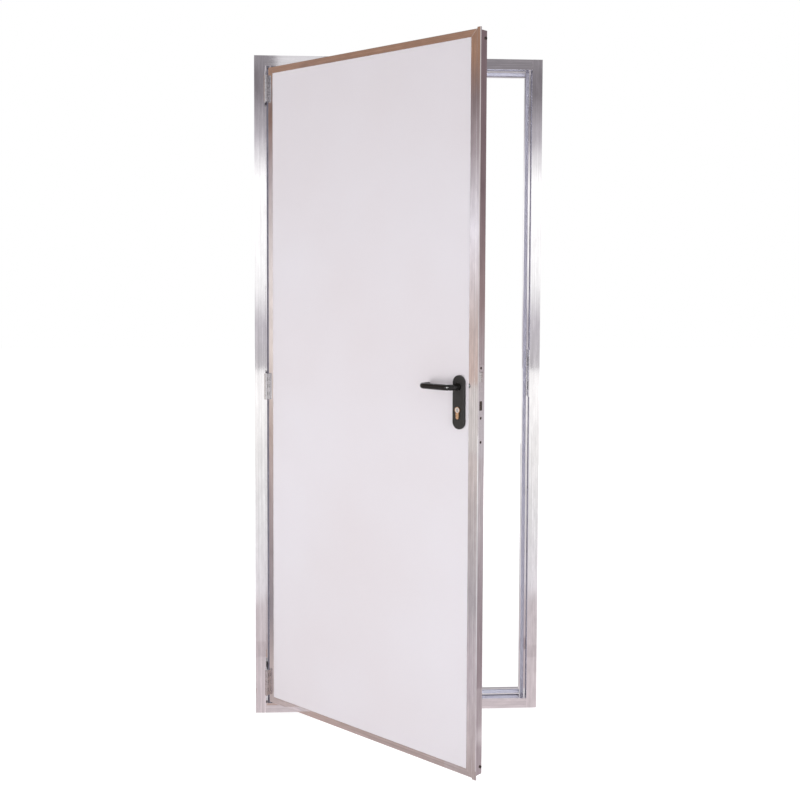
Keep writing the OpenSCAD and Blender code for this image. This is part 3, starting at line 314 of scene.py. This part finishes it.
# %% Soft lamps and the glint on the levers
def soft_lamp(name, place, aim, side, power):
    """Square lamp of the given side, turned so that it shines at the aim, and not seen in metal."""
    lamp = bpy.data.objects.new(name, bpy.data.lights.new(name, "AREA"))
    lamp.data.size = side
    lamp.data.energy = power
    lamp.location = place
    lamp.rotation_euler = (Vector(aim) - Vector(place)).to_track_quat("-Z", "Y").to_euler()
    lamp.visible_glossy = lamp.visible_camera = False
    scene.collection.objects.link(lamp)
    return lamp


soft_lamp("lamp_front_left", (-3.7, -2.9, 0.35), aim=(-0.2, -0.25, 0.3), side=2.4, power=68)
soft_lamp("lamp_front_low", (-1.9, -2.2, 0.25), aim=(-0.25, -0.2, 0.2), side=1.2, power=19)
soft_lamp("lamp_front_right", (3.0, -4.5, 1.2), aim=(0.4, 0, 0.9), side=2.0, power=90)
soft_lamp("lamp_behind", (2.2, 4.2, 1.8), aim=(0, -0.2, 1.0), side=2.5, power=110)

LEVERS = "outer_lever", "inner_lever"
glint = soft_lamp("lamp_for_levers", (-1.4, -4.4, 1.65), aim=(0.1, -0.6, 1.09), side=2.2, power=220)
glint.data.shape = "RECTANGLE"
glint.data.size_y = 0.8
glint.visible_diffuse = False
glint.visible_glossy = True
lit_levers = bpy.data.collections.new("levers")
for name in LEVERS:
    lit_levers.objects.link(door[name])
glint.light_linking.receiver_collection = lit_levers
print("lamps: four for the door, and one that only glints on the levers")

# %% [markdown]
# ## Helpers for the finishes
#
# Every surface of the door is a little uneven: cloudy, grained or wavy. Pictures of real surfaces
# could show that, but they repeat, and they blur close up. A noise worked out at each point does
# neither, so every finish starts from the object's own coordinates, lays a noise in them, and turns
# it into a tone, a roughness or a bump.

# %% Helpers that the finishes share
NOISE_LOW, NOISE_HIGH = 0.3, 0.7


def new_finish(name):
    """Empty finish with its shader and the object's own coordinates, ready for wiring."""
    finish = bpy.data.materials.new(name)
    finish.use_nodes = True
    tree = finish.node_tree
    place = node(tree, "ShaderNodeTexCoord").outputs["Object"]
    return finish, tree, tree.nodes["Principled BSDF"], place


def noise(tree, vector, scale, detail, roughness):
    """Output of a cloud noise with this many clouds a metre."""
    sockets = {"Vector": vector, "Scale": scale, "Detail": detail, "Roughness": roughness}
    return node(tree, "ShaderNodeTexNoise", sockets).outputs["Fac"]


def noise_between(tree, value, low, high):
    """Output that carries a noise to two values, from the range where most of a noise lies."""
    return spread(tree, value, NOISE_LOW, NOISE_HIGH, low, high)


def bump(tree, height, strength, depth, **under):
    """Output of a bump of this depth in metres, laid over another one where that is given."""
    sockets = {"Height": height, "Strength": strength, "Distance": depth, **under}
    return node(tree, "ShaderNodeBump", sockets).outputs[0]


def dress(finish, *names):
    """Gives each named solid this finish in place of what it came with."""
    for name in names:
        door[name].data.materials.clear()
        door[name].data.materials.append(finish)


print("helpers: new_finish, noise, noise_between, bump, dress")

# %% [markdown]
# ## Mill aluminium
#
# The frame and the leaf's edges are extrusions left as they came from the press. Close up they
# carry fine lines along their length, cloudy stains and a slightly wavy surface, which is why the
# reflections in them break up. Brushed metal could be faked with anisotropy alone, but that shows
# nothing at arm's length. Here a noise drawn out far along the extrusion gives the lines and one
# drawn out less the stains. Together they shift the colour, the stains shift the roughness, and
# the lines and a broader wave give the bump.

# %% Finish for extrusions, drawn along any direction
LINES, STAINS, WAVES = 320, 75, 40
LINE_STRETCH, STAIN_STRETCH = 160, 5
MIXED_LOW, MIXED_HIGH = 0.12, 0.42
DULL_METAL, BRIGHT_METAL = (0.76, 0.745, 0.755), (0.97, 0.955, 0.965)
CLEAN_ROUGHNESS, STAINED_ROUGHNESS = 0.03, 0.07
OPEN_ANGLE = math.radians(46)


def mill_aluminium(name, turn):
    """Lines run along local Z after the turn: the coordinates are turned back, then squeezed. Lines
    times stains shift the metal between a dull and a bright colour."""
    finish, tree, shader, place = new_finish(name)
    drawn, stretched = (
        node(tree, "ShaderNodeMapping", {"Vector": place, "Rotation": turn, "Scale": (1, 1, stretch)},
             vector_type="TEXTURE").outputs[0]
        for stretch in (LINE_STRETCH, STAIN_STRETCH))
    lines = noise(tree, drawn, LINES, 3.0, 0.6)
    stains = noise(tree, stretched, STAINS, 4.0, 0.6)
    waves = noise(tree, stretched, WAVES, 2.0, 0.5)
    mixed = node(tree, "ShaderNodeMath", {0: lines, 1: stains}, operation="MULTIPLY").outputs[0]
    tone = spread(tree, mixed, MIXED_LOW, MIXED_HIGH, 0.0, 1.0)
    colour = blend_colours(tree, tone, DULL_METAL, BRIGHT_METAL)
    roughness = noise_between(tree, stains, CLEAN_ROUGHNESS, STAINED_ROUGHNESS)
    fine = bump(tree, lines, strength=0.1, depth=0.0001)
    broad = bump(tree, waves, strength=0.2, depth=0.0003, Normal=fine)
    tree.links.new(colour, shader.inputs["Base Color"])
    tree.links.new(roughness, shader.inputs["Roughness"])
    tree.links.new(broad, shader.inputs["Normal"])
    shader.inputs["Metallic"].default_value = 1.0
    return finish


upright = mill_aluminium("mill_aluminium_upright", (0, 0, 0))
level = mill_aluminium("mill_aluminium_level", (0, math.pi / 2, 0))
leaf_level = mill_aluminium("mill_aluminium_leaf", (0, math.pi / 2, -OPEN_ANGLE))
dress(upright, "hinge_jamb", "lock_jamb", "hinge_stile", "lock_stile", "closing_strip")
dress(level, "head", "sill")
dress(leaf_level, "top_rail", "bottom_rail")
print("mill aluminium on the frame and the leaf's edges")

# %% [markdown]
# ## Coated sheet
#
# The leaf's faces are thin steel sheet with a white satin coat. A plain white would do from afar,
# but the real coat has a faint orange peel and is never one even tone. Two noises do that: a fine
# one as bump and gloss, and a very broad one that shifts the white by a few hundredths.

# %% White satin sheet
CLOUDS, PEEL = 2.2, 700
WHITE_LOW, WHITE_HIGH = (0.765, 0.722, 0.750), (0.790, 0.762, 0.802)
SATIN_LOW, SATIN_HIGH = 0.36, 0.46
sheet_white, tree, shader, place = new_finish("white_satin_sheet")
cloud = noise_between(tree, noise(tree, place, CLOUDS, 2.0, 0.5), 0.0, 1.0)
peel = noise(tree, place, PEEL, 2.0, 0.5)
tree.links.new(blend_colours(tree, cloud, WHITE_LOW, WHITE_HIGH), shader.inputs["Base Color"])
tree.links.new(noise_between(tree, peel, SATIN_LOW, SATIN_HIGH), shader.inputs["Roughness"])
tree.links.new(bump(tree, peel, strength=0.05, depth=0.0002), shader.inputs["Normal"])
shader.inputs["Specular IOR Level"].default_value = 0.35
dress(sheet_white, "front_skin", "back_skin")
print("white sheet on both faces")

# %% [markdown]
# ## Foam seal
#
# A strip of soft foam is stuck on the frame's stop, and the closing leaf presses into it. The
# solid model has a straight bar there. Real foam is cut from a roll and pressed on by hand: its
# face bulges, its width wanders by a fraction of a millimetre, and its ends are cut square. So
# each strip is a rounded profile carried along a straight path, with a slow wander added to it.

# %% Strip as a profile carried along a path
PATH_STEPS, PROFILE_POINTS = 240, 28
CORNER_POWER = 0.45
SLACK, WANDER, WANDER_DELAY = 0.03, 0.02, 17
LONG_WAVE, SHORT_WAVE, SHORT_SHARE = 9, 23, 0.6


def foam_strip(name, start, end, across, width, out, thickness, phase):
    """Grid of points: along the path, then round a profile whose corners are rounded by a power
    curve (cosine and sine raised to 0.45). The half-width and the height wander along the path by
    two slow sines. One flat face closes each end."""
    start, end, across, out = (np.array(v, float) for v in (start, end, across, out))
    share = np.linspace(0, 1, PATH_STEPS)[:, None]
    angle = np.linspace(0, 2 * np.pi, PROFILE_POINTS, endpoint=False)[None, :]
    rounded_cos, rounded_sin = (
        np.sign(wave) * np.abs(wave) ** CORNER_POWER for wave in (np.cos(angle), np.sin(angle)))
    metres = share * np.linalg.norm(end - start)
    slow = np.sin(metres * LONG_WAVE + phase) + SHORT_SHARE * np.sin(metres * SHORT_WAVE + 2 * phase)
    half = width / 2 * (1 - SLACK + WANDER * slow)
    high = thickness * (1 - SLACK + WANDER * np.roll(slow, WANDER_DELAY, axis=0))
    side = rounded_cos * half
    lift = rounded_sin * high / 2 + high / 2
    path = start + share[:, :, None] * (end - start)
    points = (path + side[:, :, None] * across + lift[:, :, None] * out).reshape(-1, 3)
    ring = np.arange(PROFILE_POINTS)
    this_ring = np.arange(PATH_STEPS - 1)[:, None] * PROFILE_POINTS
    next_ring = this_ring + PROFILE_POINTS
    after = np.roll(ring, -1)
    walls = np.stack([this_ring + ring, next_ring + ring, next_ring + after, this_ring + after], -1)
    last_ring = (PATH_STEPS - 1) * PROFILE_POINTS + ring
    faces = walls.reshape(-1, 4).tolist() + [ring.tolist(), last_ring[::-1].tolist()]
    mesh = bpy.data.meshes.new(name)
    mesh.from_pydata(points.tolist(), [], faces)
    mesh.validate()
    mesh.shade_smooth()
    strip = bpy.data.objects.new(name, mesh)
    scene.collection.objects.link(strip)
    return strip


print(f"a strip has {PATH_STEPS} rings of {PROFILE_POINTS} points")

# %% Four strips where the solid bars are
X, Y, Z = 0, 1, 2
SEALS = [("hinge_seal", Z), ("lock_seal", Z), ("head_seal", X), ("sill_seal", X)]
FORWARD = (0, -1, 0)
FIRST_PHASE, PHASE_STEP = 0.7, 1.9


def strip_path(name, lengthwise):
    """Ends of the line along the back of a solid strip, down the middle of its width, and the size
    of the strip's box."""
    low, high = (np.array(v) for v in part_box(name))
    start, end = (low + high) / 2, (low + high) / 2
    start[lengthwise], end[lengthwise] = low[lengthwise], high[lengthwise]
    start[Y] = end[Y] = high[Y]
    return start, end, high - low


strips = []
for number, (name, lengthwise) in enumerate(SEALS):
    start, end, size = strip_path(name, lengthwise)
    sideways, width = ((1, 0, 0), size[X]) if lengthwise == Z else ((0, 0, -1), size[Z])
    phase = FIRST_PHASE + PHASE_STEP * number
    strip = foam_strip("foam_" + name, start, end, sideways, width, FORWARD, size[Y], phase)
    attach(strip, "frame")
    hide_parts(name)
    strips.append(strip)
print(f"{len(strips)} foam strips, {sum(len(s.data.polygons) for s in strips)} faces")

# %% [markdown]
# ## Foam finish
#
# Closed-cell foam is pale, dull and full of tiny pores, with faint blotches where it was handled.
# Modelling the pores would take millions of faces, so a cell pattern about a millimetre wide makes
# them as bump and roughness, and a slow noise makes the blotches.

# %% Closed-cell foam
CELLS, BLOTCHES = 900, 40
FOAM_LOW, FOAM_HIGH = (0.66, 0.675, 0.80), (0.74, 0.755, 0.88)
CELL_EDGE = 0.6
MIDDLE_ROUGHNESS, EDGE_ROUGHNESS = 0.95, 0.75
foam, tree, shader, place = new_finish("closed_cell_foam")
cells = node(tree, "ShaderNodeTexVoronoi", {"Vector": place, "Scale": CELLS}).outputs["Distance"]
blotch = noise_between(tree, noise(tree, place, BLOTCHES, 3.0, 0.6), 0.0, 1.0)
roughness = spread(tree, cells, 0.0, CELL_EDGE, MIDDLE_ROUGHNESS, EDGE_ROUGHNESS)
tree.links.new(blend_colours(tree, blotch, FOAM_LOW, FOAM_HIGH), shader.inputs["Base Color"])
tree.links.new(roughness, shader.inputs["Roughness"])
tree.links.new(bump(tree, cells, strength=0.35, depth=0.0004), shader.inputs["Normal"])
shader.inputs["Specular IOR Level"].default_value = 0.2
for strip in strips:
    strip.data.materials.append(foam)
dress(foam, "foam_core", *(name for name, lengthwise in SEALS))
print("foam finish on the strips and the core")

# %% [markdown]
# ## Zinc, nickel, oiled steel and brass
#
# The hinges, plates and most screws are steel with a thin bright zinc coat, whose crystals show as
# faint patches. The latch and the key plugs are nickel plated, the dead bolt and the screws in the
# lock edge are dark oiled steel, and the cylinder is brass. One flat metal for all would look like
# a toy, and five separate graphs would repeat themselves, so one function takes the colours, the
# gloss and the size of the patches.

# %% Metal finishes for the hardware
GRAINS_PER_PATCH = 9


def plated(name, low, high, smooth, rough, patches, relief):
    """Metal whose patches of a cell pattern shift between two colours and two roughnesses."""
    finish, tree, shader, place = new_finish(name)
    cells = node(tree, "ShaderNodeTexVoronoi", {"Vector": place, "Scale": patches}).outputs["Color"]
    patch = node(tree, "ShaderNodeSeparateColor", {"Color": cells}).outputs["Red"]
    grain = noise(tree, place, patches * GRAINS_PER_PATCH, 3.0, 0.6)
    tree.links.new(blend_colours(tree, patch, low, high), shader.inputs["Base Color"])
    tree.links.new(spread(tree, patch, 0.0, 1.0, smooth, rough), shader.inputs["Roughness"])
    tree.links.new(bump(tree, grain, relief, depth=0.0001), shader.inputs["Normal"])
    shader.inputs["Metallic"].default_value = 1.0
    return finish


zinc = plated("zinc_plated_steel", (0.60, 0.59, 0.60), (0.70, 0.69, 0.70),
              smooth=0.15, rough=0.21, patches=140, relief=0.03)
bright_zinc = plated("bright_zinc_plate", (0.84, 0.83, 0.84), (0.90, 0.89, 0.90),
                     smooth=0.14, rough=0.19, patches=140, relief=0.03)
nickel = plated("satin_nickel", (0.92, 0.90, 0.88), (0.97, 0.95, 0.93),
                smooth=0.14, rough=0.22, patches=300, relief=0.05)
brass = plated("cylinder_brass", (0.72, 0.47, 0.28), (0.82, 0.56, 0.36),
               smooth=0.2, rough=0.32, patches=300, relief=0.08)
oiled = plated("dark_oiled_steel", (0.10, 0.08, 0.07), (0.16, 0.13, 0.115),
               smooth=0.25, rough=0.4, patches=400, relief=0.08)
subparts = frame["record"]["subparts"]
zinc_names = [part["node"] for part in subparts if part["material_slot"] == "zinc_steel"]
dress(zinc, *zinc_names)
dress(bright_zinc, "faceplate", "strike_plate")
dress(nickel, "latch_bolt", "outer_plug", "inner_plug")
dress(oiled, "dead_bolt", "leaf_corner_screws", "faceplate_screws", "cylinder_screw")
dress(brass, "key_cylinder")
print(f"zinc on {len(zinc_names)} solids, two of them brighter")
print("nickel on three, dark oil on four, brass on one")

# %% [markdown]
# ## Black handle set
#
# The plates are black moulded plastic with a fine grain, the levers the same black but glossier,
# because hands polish them. One black for both would lose that. A function makes each from two
# tones and two roughnesses, and a slow noise says where it was rubbed.

# %% Black finishes for plates and levers
RUBBED_SPOTS, MOULD_GRAINS = 45, 2600


def moulded_black(name, dark, light, smooth, rough, gloss):
    """Black with a fine moulded grain; a slow noise shifts colour and gloss where hands polish it."""
    finish, tree, shader, place = new_finish(name)
    rubbed = noise(tree, place, RUBBED_SPOTS, 3.0, 0.55)
    grain = noise(tree, place, MOULD_GRAINS, 2.0, 0.5)
    tone = noise_between(tree, rubbed, 0.0, 1.0)
    tree.links.new(blend_colours(tree, tone, dark, light), shader.inputs["Base Color"])
    tree.links.new(noise_between(tree, rubbed, smooth, rough), shader.inputs["Roughness"])
    tree.links.new(bump(tree, grain, strength=0.1, depth=0.0001), shader.inputs["Normal"])
    shader.inputs["Specular IOR Level"].default_value = gloss
    return finish


plate_black = moulded_black("black_plate", (0.024, 0.023, 0.022), (0.032, 0.031, 0.029),
                            smooth=0.42, rough=0.55, gloss=0.35)
lever_black = moulded_black("black_lever", (0.006, 0.005, 0.005), (0.010, 0.009, 0.008),
                            smooth=0.14, rough=0.2, gloss=0.4)
dress(plate_black, "outer_plate", "inner_plate")
dress(lever_black, *LEVERS)
print("black on the plates and the levers")

# %% [markdown]
# ## Softened edges
#
# No real edge is perfectly sharp: an extrusion has a small radius that catches a line of light.
# The solids keep their shape, so the edges are rounded by modifiers: a weld joins the loose
# triangles, flat faces are merged, so that no sliver of a triangle disturbs the shading round a
# hole, and a narrow bevel runs only along edges that really turn.

# %% Narrow bevels on what the eye meets
WELD_REACH = 0.00001
FLAT_ANGLE, TURN_ANGLE = math.radians(0.1), math.radians(40)
BEVEL_STEPS = 2
FRAME_BEVEL, LEAF_BEVEL, PLATE_BEVEL = 0.0009, 0.0006, 0.0003


def soften(width, *names):
    """Weld, merge flat faces, then bevel edges that turn by more than 40 degrees, in two steps."""
    for name in names:
        weld = door[name].modifiers.new("join", "WELD")
        weld.merge_threshold = WELD_REACH
        flat = door[name].modifiers.new("flat_faces", "DECIMATE")
        flat.decimate_type = "DISSOLVE"
        flat.angle_limit = FLAT_ANGLE
        edge = door[name].modifiers.new("soft_edge", "BEVEL")
        edge.width = width
        edge.segments = BEVEL_STEPS
        edge.limit_method = "ANGLE"
        edge.angle_limit = TURN_ANGLE
        edge.harden_normals = True


soften(FRAME_BEVEL, "hinge_jamb", "lock_jamb", "head", "sill")
soften(LEAF_BEVEL, "hinge_stile", "lock_stile", "top_rail", "bottom_rail", "closing_strip")
soften(PLATE_BEVEL, "faceplate", "strike_plate")
print("soft edges on the extrusions and plates")
